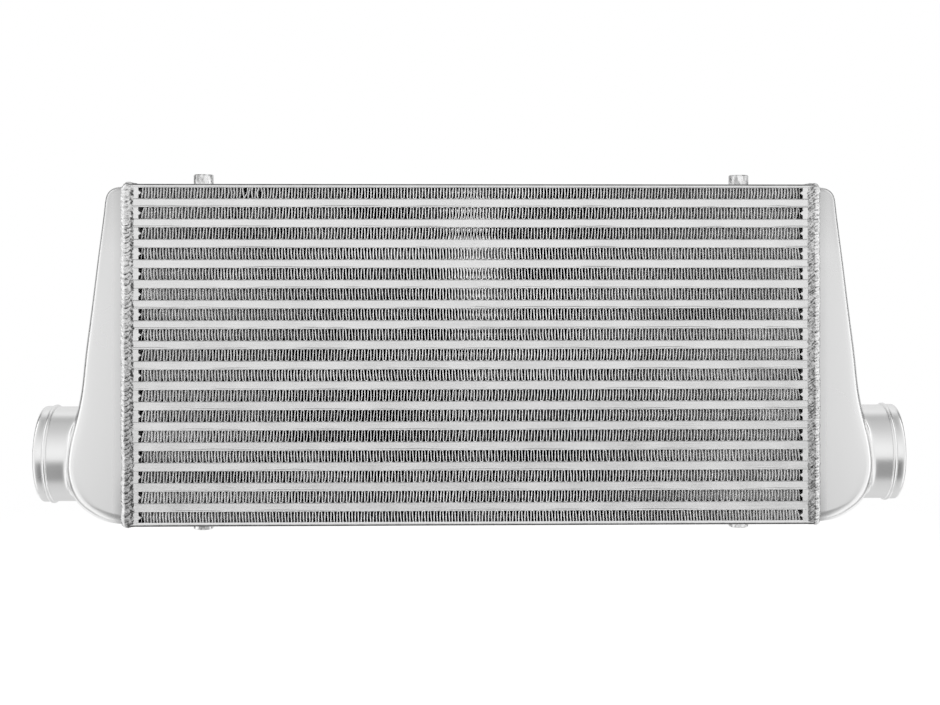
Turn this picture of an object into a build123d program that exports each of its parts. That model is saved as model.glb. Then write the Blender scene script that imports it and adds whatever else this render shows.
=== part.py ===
from build123d import *
import os
from math import sqrt

# Front-mount intercooler: a brazed bar-and-plate core between two cast end tanks.
# X runs along the core, Y through its depth with the front face at -Y, Z is up.
# The origin is the middle of the core. Every size is in millimetres.

# Core
CORE_LENGTH = 604.0
CORE_DEPTH = 100.0
AIR_ROWS = 17
AIR_FIN_HEIGHT = 10.4
CHARGE_BAR_HEIGHT = 6.4
CHARGE_BAR_WIDTH = 7.0
PARTING_SHEET = 0.5
SIDE_PLATE = 2.5
END_BAR_WIDTH = 9.8
END_BAR_NOSE = 2.3
END_BAR_NOSE_HEIGHT = 4.2

# Corrugated fins, folded from thin sheet. A fold is one leg of the zigzag.
AIR_FIN_FOLD = 10.7
AIR_FIN_SHEET = 0.45
AIR_FIN_SETBACK = 0.6
CHARGE_FIN_FOLD = 14.0
CHARGE_FIN_SHEET = 0.45

# End tanks. Each station of the outline gives the distance out from the core's end,
# the height, and the radius of the rounded front and rear edge there.
TANK_WALL = 4.0
SHOULDER_STATIONS = (  # height measured down from the core's top
    (0.0, 2.1, 5.0),
    (7.0, 2.5, 5.0),
    (13.0, 3.9, 5.0),
    (17.0, 6.8, 5.2),
    (19.3, 11.1, 5.5),
    (20.6, 18.0, 6.0),
)
BOWL_STATIONS = (  # height measured up from the core's bottom
    (43.5, 109.1, 10.0),
    (47.0, 96.1, 11.0),
    (51.6, 82.1, 12.5),
    (56.2, 67.1, 14.5),
    (58.3, 52.1, 15.5),
    (56.8, 36.6, 16.5),
    (51.0, 22.1, 17.0),
    (42.0, 12.4, 16.0),
    (31.0, 6.2, 14.0),
    (17.0, 2.2, 11.0),
    (0.0, 0.8, 9.0),
)
FLANK_STATIONS = 4  # evenly spaced on the straight flank between the two lists
OUTER_EDGE_STEPS = (0.0, 0.04, 0.12, 0.27, 0.5, 0.75, 1.0)  # depths of the sections at an edge
CAVITY_EDGE_STEPS = (0.0, 0.1, 0.35, 1.0)

# Hose necks, turned on the castings
NECK_RISE = 58.0  # height of the axis above the core's bottom
NECK_REACH = 85.0  # from the core's end to the rim
NECK_SIDE_MARGIN = 7.5  # from the neck's side to the tank's front and rear faces
NECK_WALL = 4.0
NECK_ROOT_FILLET = 3.0
BEAD_RISE = 1.75  # above the neck's wall
BEAD_WIDTH = 4.0
RIM_RISE = 0.5
RIM_WIDTH = 8.6
RIM_ROUND = 3.0

# Welds between core and tanks
WELD_WIDTH = 11.5
WELD_CROWN = 1.8
WELD_ROOT = 1.5
WELD_CORNER = 5.0

# Mounting bosses
BOSS_INSET = 58.5  # from the core's end to the boss's axis
BOSS_DIAMETER = 18.0
BOSS_HEIGHT = 10.5
BOSS_CHAMFER = 0.8
BOSS_DRILL_RADIUS = 3.4
BOSS_DRILL_DEPTH = 9.5

# Worked out from the sizes above
passage_height = CHARGE_BAR_HEIGHT + 2 * PARTING_SHEET
row_pitch = AIR_FIN_HEIGHT + passage_height
charge_rows = AIR_ROWS - 1
core_height = AIR_ROWS * AIR_FIN_HEIGHT + charge_rows * passage_height + 2 * SIDE_PLATE
core_top = core_height / 2
core_end = CORE_LENGTH / 2
first_row = core_top - SIDE_PLATE - AIR_FIN_HEIGHT / 2
front = CORE_DEPTH / 2
neck_z = NECK_RISE - core_top
neck_radius = front - NECK_SIDE_MARGIN
neck_bore_radius = neck_radius - NECK_WALL
bead_radius = neck_radius + BEAD_RISE
rim_radius = neck_radius + RIM_RISE
rim_x = core_end + NECK_REACH
boss_spacing = CORE_LENGTH - 2 * BOSS_INSET

air_heights = [first_row - row_pitch * row for row in range(AIR_ROWS)]
charge_heights = [first_row - row_pitch * (row + 0.5) for row in range(charge_rows)]

os.makedirs("parts", exist_ok=True)


def keep(part, name):
    """Label a finished piece and write it."""
    part.label = name
    export_step(part, f"parts/{name}.step")


def zigzag(half_length, height, fold, sheet):
    """Closed outline of a folded sheet, centred, with its crests on the two bounding faces."""
    folds = 2 * round(half_length / fold)
    step = 2 * half_length / folds
    crest = height / 2
    upper = []
    for n in range(folds + 1):
        top = crest if n % 2 else -crest + sheet
        upper.append((-half_length + n * step, top))
    lower = [(x, z - sheet) for x, z in reversed(upper)]
    return upper + lower


# Side plates close the stack above and below the outer fin rows.
with BuildPart() as top_side_plate:
    with BuildSketch(Plane.XY.offset(core_top - SIDE_PLATE)):
        Rectangle(CORE_LENGTH, CORE_DEPTH)
    extrude(amount=SIDE_PLATE)
keep(top_side_plate.part, "top_side_plate")

with BuildPart() as bottom_side_plate:
    mirror(top_side_plate.part, about=Plane.XY)
keep(bottom_side_plate.part, "bottom_side_plate")

# Each charge passage is two long bars brazed between two parting sheets.
for row, z in enumerate(charge_heights, start=1):
    with BuildPart() as charge_passage:
        with BuildSketch(Plane.YZ.offset(-core_end)):
            with Locations((0, z)):
                Rectangle(CORE_DEPTH, passage_height)
                Rectangle(CORE_DEPTH - 2 * CHARGE_BAR_WIDTH, CHARGE_BAR_HEIGHT, mode=Mode.SUBTRACT)
        extrude(amount=CORE_LENGTH)
    keep(charge_passage.part, f"charge_passage_{row:02d}")

# A charge fin lies in each passage, its folds running the length of the core.
for row, z in enumerate(charge_heights, start=1):
    with BuildPart() as charge_fin:
        half_width = CORE_DEPTH / 2 - CHARGE_BAR_WIDTH
        with BuildSketch(Plane.YZ.offset(-core_end)):
            with Locations((0, z)):
                Polygon(*zigzag(half_width, CHARGE_BAR_HEIGHT, CHARGE_FIN_FOLD, CHARGE_FIN_SHEET),
                        align=None)
        extrude(amount=CORE_LENGTH)
    keep(charge_fin.part, f"charge_fin_{row:02d}")

# An air fin fills each row between the noses of the two end bars.
air_fin_half = core_end - END_BAR_WIDTH - END_BAR_NOSE
for row, z in enumerate(air_heights, start=1):
    with BuildPart() as air_fin:
        with BuildSketch(Plane.XZ.offset(-front + AIR_FIN_SETBACK)):
            with Locations((0, z)):
                Polygon(*zigzag(air_fin_half, AIR_FIN_HEIGHT, AIR_FIN_FOLD, AIR_FIN_SHEET),
                        align=None)
        extrude(amount=CORE_DEPTH - 2 * AIR_FIN_SETBACK)
    keep(air_fin.part, f"air_fin_{row:02d}")

# End bars close the air rows. Each has a pointed nose along its inner face.
with BuildPart() as right_end_bars:
    with BuildSketch(Plane.XZ.offset(-front)):
        for z in air_heights:
            with BuildLine():
                inner = core_end - END_BAR_WIDTH
                half = AIR_FIN_HEIGHT / 2
                nose_half = END_BAR_NOSE_HEIGHT / 2
                Polyline((core_end, z - half), (inner, z - half), (inner, z - nose_half),
                         (inner - END_BAR_NOSE, z), (inner, z + nose_half),
                         (inner, z + half), (core_end, z + half), close=True)
            make_face()
    extrude(amount=CORE_DEPTH)
keep(right_end_bars.part, "right_end_bars")

with BuildPart() as left_end_bars:
    mirror(right_end_bars.part, about=Plane.YZ)
keep(left_end_bars.part, "left_end_bars")


def tank_stations():
    """Stations of the outline as x, z and edge radius, from the top of the joint to its foot."""
    shoulder = [(core_end + out, core_top - drop, edge) for out, drop, edge in SHOULDER_STATIONS]
    bowl = [(core_end + out, rise - core_top, edge) for out, rise, edge in BOWL_STATIONS]
    start = shoulder[-1]
    end = bowl[0]
    flank = []
    for n in range(1, FLANK_STATIONS + 1):
        share = n / (FLANK_STATIONS + 1)
        flank.append(tuple(a + (b - a) * share for a, b in zip(start, end)))
    return shoulder + flank + bowl


def edge_inset(edge, depth):
    """How far a round edge stands in from the full outline at a depth below the face."""
    if depth >= edge:
        return 0.0
    return edge - sqrt(edge ** 2 - (edge - depth) ** 2)


def tank_form(wall, edge_steps, ruled=False):
    """The tank's outer form for wall 0, or the cavity that leaves that wall, lofted over the depth."""
    stations = tank_stations()
    outline = Edge.make_spline([Vector(x, 0, z) for x, z, edge in stations])
    inward = [Vector(0, 1, 0).cross(outline.tangent_at(Vector(x, 0, z))) for x, z, edge in stations]
    deepest = max(edge for x, z, edge in stations) - wall
    depths = [deepest * step for step in edge_steps]
    levels = [-front + wall + depth for depth in depths]
    levels += [-level for level in reversed(levels)]
    with BuildPart() as form:
        for level in levels:
            depth = front - wall - abs(level)
            points = []
            for (x, z, edge), way in zip(stations, inward):
                inset = wall + edge_inset(edge - wall, depth)
                points.append((x + way.X * inset, z + way.Z * inset))
            points[0] = (core_end, points[0][1])
            points[-1] = (core_end, points[-1][1])
            with BuildSketch(Plane.XZ.offset(-level)):
                with BuildLine():
                    skin = Spline(*points)
                    Line(skin @ 1, skin @ 0)
                make_face()
        loft(ruled=ruled)
    return form.part


def root_edges(tank):
    """Edges where the neck leaves the casting. The neck's wall is the cylinder nearest the core."""
    wall = tank.faces().filter_by(GeomType.CYLINDER).sort_by(Axis.X)[0]
    return wall.edges().filter_by(GeomType.BSPLINE)


with BuildPart() as right_end_tank:
    add(tank_form(0.0, OUTER_EDGE_STEPS))
    # neck, bead and rim
    with BuildSketch(Plane.XZ):
        with BuildLine():
            bead_x = rim_x - RIM_WIDTH - BEAD_WIDTH
            neck_start = core_end + TANK_WALL
            rim_edge = rim_radius - RIM_ROUND
            Polyline((neck_start, neck_z), (neck_start, neck_z + neck_radius),
                     (bead_x, neck_z + neck_radius))
            ThreePointArc((bead_x, neck_z + neck_radius),
                          (bead_x + BEAD_WIDTH / 2, neck_z + bead_radius),
                          (bead_x + BEAD_WIDTH, neck_z + neck_radius))
            Polyline((bead_x + BEAD_WIDTH, neck_z + neck_radius),
                     (bead_x + BEAD_WIDTH, neck_z + rim_radius),
                     (rim_x - RIM_ROUND, neck_z + rim_radius))
            RadiusArc((rim_x - RIM_ROUND, neck_z + rim_radius), (rim_x, neck_z + rim_edge), RIM_ROUND)
            Polyline((rim_x, neck_z + rim_edge), (rim_x, neck_z), (neck_start, neck_z))
        make_face()
    revolve(axis=Axis((0, 0, neck_z), (1, 0, 0)))
    fillet(root_edges(right_end_tank), NECK_ROOT_FILLET)
    add(tank_form(TANK_WALL, CAVITY_EDGE_STEPS, ruled=True), mode=Mode.SUBTRACT)
    with BuildSketch(Plane.YZ.offset(rim_x)):
        with Locations((0, neck_z)):
            Circle(neck_bore_radius)
    extrude(amount=-(NECK_REACH - TANK_WALL), mode=Mode.SUBTRACT)
keep(right_end_tank.part, "right_end_tank")

with BuildPart() as left_end_tank:
    mirror(right_end_tank.part, about=Plane.YZ)
keep(left_end_tank.part, "left_end_tank")

# The weld is one closed bead over the joint between the core and a tank.
with BuildPart() as right_tank_weld:
    with BuildSketch(Plane.YZ.offset(core_end), mode=Mode.PRIVATE) as joint:
        RectangleRounded(CORE_DEPTH, core_height, WELD_CORNER)
    seam = joint.sketch.wire()
    start = seam @ 0
    outward = (seam % 0).cross(Vector(1, 0, 0))
    if outward.dot(start - Vector(core_end, 0, 0)) < 0:
        outward = -outward
    with BuildSketch(Plane(start, x_dir=(1, 0, 0), z_dir=Vector(1, 0, 0).cross(outward))):
        with BuildLine():
            half = WELD_WIDTH / 2
            Polyline((half, 0), (half, -WELD_ROOT), (-half, -WELD_ROOT), (-half, 0))
            ThreePointArc((-half, 0), (0, WELD_CROWN), (half, 0))
        make_face()
    sweep(path=seam)
    with BuildSketch(Plane.YZ.offset(core_end)):
        Rectangle(CORE_DEPTH, core_height)
    extrude(amount=-WELD_WIDTH, mode=Mode.SUBTRACT)
    add(tank_form(0.0, OUTER_EDGE_STEPS), mode=Mode.SUBTRACT)
keep(right_tank_weld.part, "right_tank_weld")

with BuildPart() as left_tank_weld:
    mirror(right_tank_weld.part, about=Plane.YZ)
keep(left_tank_weld.part, "left_tank_weld")

# Threaded bosses are welded to the side plates, two above and two below.
with BuildPart() as top_mount_bosses:
    with BuildSketch(Plane.XY.offset(core_top)):
        with GridLocations(boss_spacing, 1, 2, 1):
            Circle(BOSS_DIAMETER / 2)
    extrude(amount=BOSS_HEIGHT)
    outer_faces = top_mount_bosses.faces().filter_by(Axis.Z).group_by(Axis.Z)[-1]
    chamfer(outer_faces.edges(), length=BOSS_CHAMFER)
    with Locations(Plane.XY.offset(core_top + BOSS_HEIGHT)):
        with GridLocations(boss_spacing, 1, 2, 1):
            Hole(BOSS_DRILL_RADIUS, depth=BOSS_DRILL_DEPTH)
keep(top_mount_bosses.part, "top_mount_bosses")

with BuildPart() as bottom_mount_bosses:
    mirror(top_mount_bosses.part, about=Plane.XY)
keep(bottom_mount_bosses.part, "bottom_mount_bosses")
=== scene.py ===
from math import pi, radians, tan

import bmesh
import bpy
import numpy as np
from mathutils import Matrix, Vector


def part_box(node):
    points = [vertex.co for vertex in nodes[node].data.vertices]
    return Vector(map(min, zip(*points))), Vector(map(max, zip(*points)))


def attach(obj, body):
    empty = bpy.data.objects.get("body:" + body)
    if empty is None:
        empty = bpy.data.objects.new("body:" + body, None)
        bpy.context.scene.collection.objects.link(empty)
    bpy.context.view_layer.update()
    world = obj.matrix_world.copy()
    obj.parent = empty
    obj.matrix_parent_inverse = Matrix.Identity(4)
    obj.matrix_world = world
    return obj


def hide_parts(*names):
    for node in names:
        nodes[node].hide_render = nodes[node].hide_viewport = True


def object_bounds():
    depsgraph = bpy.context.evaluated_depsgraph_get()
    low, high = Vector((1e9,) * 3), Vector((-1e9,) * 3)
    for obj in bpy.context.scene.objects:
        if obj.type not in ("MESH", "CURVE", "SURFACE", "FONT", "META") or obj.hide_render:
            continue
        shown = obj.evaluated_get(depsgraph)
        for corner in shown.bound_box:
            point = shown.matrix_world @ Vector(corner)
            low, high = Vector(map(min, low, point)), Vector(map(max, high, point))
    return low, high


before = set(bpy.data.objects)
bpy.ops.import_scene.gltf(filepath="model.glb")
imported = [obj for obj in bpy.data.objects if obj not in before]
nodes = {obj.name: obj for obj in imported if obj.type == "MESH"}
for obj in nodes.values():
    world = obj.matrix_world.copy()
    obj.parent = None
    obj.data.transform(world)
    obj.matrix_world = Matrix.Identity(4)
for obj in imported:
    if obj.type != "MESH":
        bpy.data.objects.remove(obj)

cad_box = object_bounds()

# Camera
# The photograph looks straight at the front face through a long lens, from a little above the middle.
# Its frame is 940 pixels wide; rows and columns here are in that frame.
PHOTO_WIDTH = 940
PHOTO_MIDDLE_ROW = 352.5
HORIZON_ROW = 250.2
LENS_PIXELS = 1580.0
CAMERA_PLACE = (-0.0020, -1.440, 0.092)
CAMERA_TURN = radians(1.4)

camera_data = bpy.data.cameras.new("camera")
camera_data.sensor_width = 36.0
camera_data.lens = camera_data.sensor_width * LENS_PIXELS / PHOTO_WIDTH
camera_data.shift_x = -tan(CAMERA_TURN) * LENS_PIXELS / PHOTO_WIDTH
camera_data.shift_y = (HORIZON_ROW - PHOTO_MIDDLE_ROW) / PHOTO_WIDTH
camera = bpy.data.objects.new("camera", camera_data)
camera.location = CAMERA_PLACE
camera.rotation_euler = (pi / 2, 0.0, -CAMERA_TURN)
bpy.context.scene.collection.objects.link(camera)
bpy.context.scene.camera = camera
bpy.context.scene.view_settings.view_transform = "Standard"


# Studio
# A white backdrop, and round the part a soft room: a bright wall behind the camera, a darker ceiling and
# sides, and a dark floor in front, which give bare metal its light and dark bands.
class Wire:
    """A socket of a node tree. Arithmetic on it adds Math nodes, and node() adds any other node."""

    def __init__(self, tree, socket=None):
        self.tree = tree
        self.socket = socket

    def node(self, kind, settings=None, inputs=None, output=0):
        """Adds a node of a type: first its settings, then its sockets' values or links."""
        made = self.tree.nodes.new(kind)
        for name, value in (settings or {}).items():
            if name == "stops":
                set_stops(made.color_ramp, value)
            else:
                setattr(made, name, value)
        for name, value in (inputs or {}).items():
            if isinstance(value, Wire):
                self.tree.links.new(value.socket, made.inputs[name])
            else:
                made.inputs[name].default_value = value
        return Wire(self.tree, made.outputs[output])

    def math(self, operation, *values):
        return self.node("ShaderNodeMath", {"operation": operation}, dict(enumerate(values)))

    def ramp(self, stops):
        """A level that follows stops, each a place from 0 to 1 and the level there."""
        return self.node("ShaderNodeValToRGB", {"stops": stops}, {0: self})

    def rise(self, low, high):
        """0 up to one value, 1 from another on, and a straight rise between them."""
        return self.ramp([(low, 0.0), (high, 1.0)])

    def fall(self, low, high):
        """1 up to one value, 0 from another on, and a straight fall between them."""
        return self.ramp([(low, 1.0), (high, 0.0)])

    def soft_rise(self, low, high):
        """0 up to one value, 1 from another on, and a smooth step between them."""
        return self.node("ShaderNodeMapRange", {"interpolation_type": "SMOOTHSTEP"},
                         {"Value": self, "From Min": low, "From Max": high})

    def blend(self, low, high):
        """From one colour or wire to another, as this level goes from 0 to 1."""
        return self.node("ShaderNodeMix", {"data_type": "RGBA"}, {0: self, 6: low, 7: high}, output=2)

    def mix(self, low, high):
        """From one grey to another, as this level goes from 0 to 1."""
        return self.blend((low, low, low, 1), (high, high, high, 1))

    def part(self, axis):
        """One level of a vector: 0, 1 and 2 are X, Y and Z."""
        return self.node("ShaderNodeSeparateXYZ", None, {0: self}, output=axis)

    def own_map(self):
        """The piece's own UV map."""
        return self.node("ShaderNodeTexCoord", output="UV")

    def noise(self, scale, detail=2.0, stretch=(1, 1, 1)):
        """Noise over these coordinates, first stretched along each axis."""
        place = self.node("ShaderNodeMapping", None, {"Vector": self, "Scale": stretch})
        return place.node("ShaderNodeTexNoise", None, {"Vector": place, "Scale": scale, "Detail": detail})

    def __add__(self, other):
        return self.math("ADD", self, other)

    def __sub__(self, other):
        return self.math("SUBTRACT", self, other)

    def __rsub__(self, other):
        return self.math("SUBTRACT", other, self)

    def __mul__(self, other):
        return self.math("MULTIPLY", self, other)

    def __abs__(self):
        return self.math("ABSOLUTE", self)

    __radd__ = __add__
    __rmul__ = __mul__


def set_stops(ramp, stops):
    """Gives a colour ramp its stops, each a place from 0 to 1 and a grey level."""
    while len(ramp.elements) > 1:
        ramp.elements.remove(ramp.elements[-1])
    ramp.elements[0].position = stops[0][0]
    ramp.elements[0].color = (*[stops[0][1]] * 3, 1)
    for place, level in stops[1:]:
        ramp.elements.new(place).color = (level, level, level, 1)


ROOM_PEAK = 1.4
ROOM_LEVELS = [  # by degrees over the room: 0 is behind the camera, 90 overhead, -90 underfoot
    (-180, 0.80), (-141, 0.74), (-106, 0.79), (-73, 0.66), (-64, 0.48), (-59, 0.26), (-21, 0.23),
    (-14, 0.34), (-11, 0.94), (0, 1.06), (14, 1.05), (24, 0.98), (44, 0.80), (60, 0.64), (77, 0.52),
    (97, 0.44), (105, 0.66), (116, 1.06), (132, 0.90), (180, 0.80),
]
SIDE_LEVELS = [  # from straight ahead of the part, at 0, to straight behind it, at 1
    (0.0, 0.95), (0.34, 1.00), (0.43, 1.40), (0.57, 1.40), (0.59, 0.80), (0.60, 0.12), (0.75, 0.14),
    (0.80, 0.74), (0.87, 0.84), (1.0, 0.84),
]
LOW_LEVELS = [  # the same, for directions that go down past the part's sides
    (0.0, 0.95), (0.24, 1.02), (0.40, 1.18), (0.57, 1.20), (0.59, 0.46), (0.64, 0.42), (0.68, 1.06),
    (1.0, 1.14),
]
SIDE_START = 0.27
SIDE_FULL = 0.46
LOW_START = 0.25
LOW_FULL = 0.50

world = bpy.data.worlds.new("studio")
world.use_nodes = True
bpy.context.scene.world = world
room = Wire(world.node_tree)
way = room.node("ShaderNodeTexCoord", output="Generated")
axes = [way.part(axis) for axis in range(3)]
round_part = room.math("ARCTAN2", axes[2], 0 - axes[1]) * (0.5 / pi) + 0.5
past_side = axes[1] * 0.5 + 0.5
aside = abs(axes[0]).soft_rise(SIDE_START, SIDE_FULL)
low = (0 - axes[2]).soft_rise(LOW_START, LOW_FULL)
over_levels = [(degrees / 360 + 0.5, level) for degrees, level in ROOM_LEVELS]
shares = [[(place, level / ROOM_PEAK) for place, level in levels]
          for levels in (over_levels, SIDE_LEVELS, LOW_LEVELS)]
beside = low.blend(past_side.ramp(shares[1]), past_side.ramp(shares[2]))
lit = aside.blend(round_part.ramp(shares[0]), beside) * ROOM_PEAK
seen = room.node("ShaderNodeLightPath", output="Is Camera Ray")
backdrop = seen.blend(lit, (1, 1, 1, 1))
world.node_tree.links.new(backdrop.socket, world.node_tree.nodes["Background"].inputs["Color"])

FLOOR_DROP = 0.30
FLOOR_RADIUS = 3.0
FLOOR_RINGS = 12
FLOOR_TURNS = 96
FLOOR_WASH = 0.80  # share of plain white in what the camera sees of the floor
FADE_START = 0.7
FADE_END = 2.6
floor_z = cad_box[0][2] - FLOOR_DROP


def new_mesh(name, points, faces):
    """A mesh object from an array of points and an array of faces of four corners."""
    mesh = bpy.data.meshes.new(name)
    mesh.vertices.add(len(points))
    mesh.vertices.foreach_set("co", np.asarray(points, np.float32).ravel())
    mesh.loops.add(faces.size)
    mesh.loops.foreach_set("vertex_index", np.asarray(faces, np.int32).ravel())
    mesh.polygons.add(len(faces))
    mesh.polygons.foreach_set("loop_start", np.arange(0, faces.size, faces.shape[1], dtype=np.int32))
    mesh.update(calc_edges=True)
    piece = bpy.data.objects.new(name, mesh)
    bpy.context.scene.collection.objects.link(piece)
    return piece


def grid_faces(rows, columns, wrap=False, ring=False, first=0):
    """The four-cornered faces of a grid of points numbered row by row. With wrap the last column joins
    the first, and with ring the last row joins the first."""
    numbers = first + np.arange(rows * columns).reshape(rows, columns)
    if ring:
        numbers = np.concatenate([numbers, numbers[:1]], axis=0)
    if wrap:
        numbers = np.concatenate([numbers, numbers[:, :1]], axis=1)
    corners = [numbers[:-1, :-1], numbers[:-1, 1:], numbers[1:, 1:], numbers[1:, :-1]]
    return np.stack(corners, axis=-1).reshape(-1, 4)


rings = np.linspace(0.02, FLOOR_RADIUS, FLOOR_RINGS)
turns = np.linspace(0, 2 * pi, FLOOR_TURNS, endpoint=False)
floor_points = np.stack([np.outer(rings, np.cos(turns)), np.outer(rings, np.sin(turns)),
                         np.full((FLOOR_RINGS, FLOOR_TURNS), floor_z)], axis=-1)
floor = new_mesh("floor", floor_points.reshape(-1, 3), grid_faces(FLOOR_RINGS, FLOOR_TURNS, wrap=True))
floor.visible_glossy = False
floor_finish = bpy.data.materials.new("pale_floor")
floor_finish.use_nodes = True
ground = Wire(floor_finish.node_tree)
spot = ground.node("ShaderNodeTexCoord", output="Object")
away = spot.node("ShaderNodeVectorMath", {"operation": "LENGTH"}, {0: spot}, output="Value")
fade = away.soft_rise(FADE_START, FADE_END)
paper = ground.node("ShaderNodeBsdfDiffuse", None, {"Color": (0.93, 0.93, 0.93, 1)})
clear = ground.node("ShaderNodeBsdfTransparent")
white = ground.node("ShaderNodeEmission")
straight = ground.node("ShaderNodeLightPath", output="Is Camera Ray")
washed = ground.node("ShaderNodeMixShader", None, {0: straight * FLOOR_WASH, 1: paper, 2: white})
faded = ground.node("ShaderNodeMixShader", None, {0: fade, 1: washed, 2: clear})
floor_output = floor_finish.node_tree.nodes["Material Output"]
floor_finish.node_tree.links.new(faded.socket, floor_output.inputs["Surface"])
floor.data.materials.append(floor_finish)

OVERHEAD = (1.6, 16, (0.0, -0.2, 1.9))  # size, power and place
KEY_SIZE = 0.8
KEY_POWER = 17
KEY_PLACES = [(-1.1, -1.5, 0.5), (1.1, -1.5, 0.5), (-1.1, 1.5, 0.5), (1.1, 1.5, 0.5)]


def softbox(name, size, power, place):
    """A round lamp at a place, turned to the part's middle. Bare metal shows the room and not the lamps."""
    data = bpy.data.lights.new(name, "AREA")
    data.shape = "DISK"
    data.size = size
    data.energy = power
    lamp = bpy.data.objects.new(name, data)
    lamp.location = place
    lamp.rotation_euler = Vector(place).to_track_quat("Z", "Y").to_euler()
    lamp.visible_glossy = False
    lamp.visible_camera = False
    bpy.context.scene.collection.objects.link(lamp)


softbox("overhead_softbox", *OVERHEAD)
for number, key_place in enumerate(KEY_PLACES):
    softbox(f"key_softbox_{number}", KEY_SIZE, KEY_POWER, key_place)


# Charge passages
# Each passage is two extruded aluminium bars brazed between two thin parting sheets, which show as fine
# lines along the bar, with painted shade under the upper one and a painted highlight along the lower one.
# The braze leaves a wavy fillet along the lower sheet, and the bars have small dents.
PASSAGES = 16
SHEET = 0.0005
BAR_EDGE = 0.0002
BAR_WIDTH = 0.007
JOINT_GROOVE = 0.00010
PASSAGE_STEPS = 80
FACE_STAND = 0.00013  # how far the bars' faces stand in from the sheets' edges, before their dents
FINE_DENTS = (90, 0.00007)  # knots along the bar, and size
WIDE_DENTS = (14, 0.00006)
FACE_TILT = (30, 0.025)
DOUBLES = 1e-6
rng = np.random.default_rng(11)


def clean(piece, angle=35.0, cap=False):
    """Merges doubled points, turns all faces outwards, and shades round surfaces smooth. With cap, each
    open end is first closed with one face."""
    work = bmesh.new()
    work.from_mesh(piece.data)
    if cap:
        bmesh.ops.edgeloop_fill(work, edges=[edge for edge in work.edges if edge.is_boundary])
    bmesh.ops.remove_doubles(work, verts=work.verts, dist=DOUBLES)
    bmesh.ops.recalc_face_normals(work, faces=work.faces)
    work.to_mesh(piece.data)
    work.free()
    piece.data.polygons.foreach_set("use_smooth", np.ones(len(piece.data.polygons), dtype=bool))
    piece.data.set_sharp_from_angle(angle=radians(angle))
    piece.data.update()


def metal(name, roughness):
    """A bare metal material: the material, its Object coordinates and its shader."""
    finish = bpy.data.materials.new(name)
    finish.use_nodes = True
    shader = finish.node_tree.nodes["Principled BSDF"]
    shader.inputs["Metallic"].default_value = 1.0
    shader.inputs["Roughness"].default_value = roughness
    place = Wire(finish.node_tree).node("ShaderNodeTexCoord", output="Object")
    return finish, place, shader


def feed(shader, **levels):
    """Links wires to a shader's sockets, whose names have spaces for the underscores."""
    for name, wire in levels.items():
        wire.tree.links.new(wire.socket, shader.inputs[name.replace("_", " ")])


def bump(height, depth):
    """A bump of a depth in metres."""
    return height.node("ShaderNodeBump", None, {"Height": height, "Distance": depth, "Strength": 1.0})


def bar_metal(name, jointed, rim=None):
    """Satin extruded bar: faint mottling, fine lines along it and, where it is jointed, a painted shade line
    under the upper sheet, a painted highlight line along the lower one and the wavy braze fillet above it.
    With a rim, a depth and a height, the edges beyond both get painted shade."""
    finish, place, shader = metal(name, 0.35)
    mottle = place.noise(70, 4)
    speckle = place.noise(650, 3)
    lines = place.noise(1, 3, stretch=(30, 1500, 1500))
    tone = 0.50 * mottle + 0.35 * speckle + 0.15 * lines
    spread = tone.rise(0.36, 0.62)
    grey = 0.74 + 0.14 * spread
    if jointed:
        height = place.own_map().part(1)
        sway = place.noise(28, 3, stretch=(1, 0.2, 1))
        run = height + 0.30 * (sway - 0.5)
        braze = run.ramp([(0.13, 0.0), (0.17, 1.0), (0.21, 1.0), (0.27, 0.0)])
        patch = place.noise(16, 2).rise(0.46, 0.60)
        # painted shade: a darker line along the bar's top under the upper sheet; painted highlight: a
        # brighter line along its foot at the lower sheet
        top = height.rise(0.90, 0.95)
        foot = height.fall(0.03, 0.10)
        grey = grey - 0.26 * braze * patch - 0.08 * top * patch + 0.10 * foot
        shader_bump = bump(0.6 * speckle + 0.4 * lines + 0.9 * braze * patch, 0.00012)
    else:
        shader_bump = bump(0.6 * speckle + 0.4 * lines, 0.00010)
    # painted shade: the edges beyond the rim's depth and height are darkened
    if rim is not None:
        past = [((abs(place.part(axis)) - edge) * 3000).rise(0.0, 1.0)
                for axis, edge in zip((1, 2), rim)]
        grey = grey - 0.66 * past[0] * past[1]
    feed(shader, Base_Color=grey.mix(0.0, 1.0), Roughness=0.27 + 0.14 * spread, Normal=shader_bump)
    return finish


passage_finish = bar_metal("brazed_bar", jointed=True)


def passage_profile(half_depth, half_height):
    """Section of a passage in Y and Z, half of it: from the middle of the underside round the front bar,
    with a rounded edge and a groove at each parting sheet, to the middle of the top."""
    bar = half_height - SHEET
    front = [(0, -half_height), (0.6, -half_height), (1, -half_height)]
    rise = [(0.00010, -half_height), (0.0, -half_height + 0.0002), (0.00004, -bar - 0.0001),
            (JOINT_GROOVE, -bar), (0.5 * BAR_EDGE, -bar + 0.3 * BAR_EDGE), (0.0, -bar + BAR_EDGE)]
    sweep = np.array([(-share * (half_depth - 0.0002), z) for share, z in front] +
                     [(-half_depth + inset, z) for inset, z in rise])
    middle = np.array([(-half_depth, z) for z in np.linspace(-bar + 3 * BAR_EDGE, bar - 3 * BAR_EDGE, 4)])
    return np.concatenate([sweep, middle, sweep[::-1] * (1, -1)])


def smooth_noise(count, knots, size):
    """Noise of a size along a line of points: random values at knots, joined by cosine steps."""
    values = rng.uniform(-size, size, knots + 1)
    at = np.linspace(0, knots, count)
    low = np.clip(at.astype(int), 0, knots - 1)
    share = 0.5 - 0.5 * np.cos(pi * (at - low))
    return values[low] * (1 - share) + values[low + 1] * share


def carried(outline, level, reach):
    """A section in Y and Z about a level, carried along X: points in rows, one row for each reach."""
    skin = np.zeros((len(reach), len(outline), 3))
    skin[..., 0] = np.asarray(reach)[:, None]
    skin[..., 1] = outline[:, 0]
    skin[..., 2] = level + outline[:, 1]
    return skin


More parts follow.
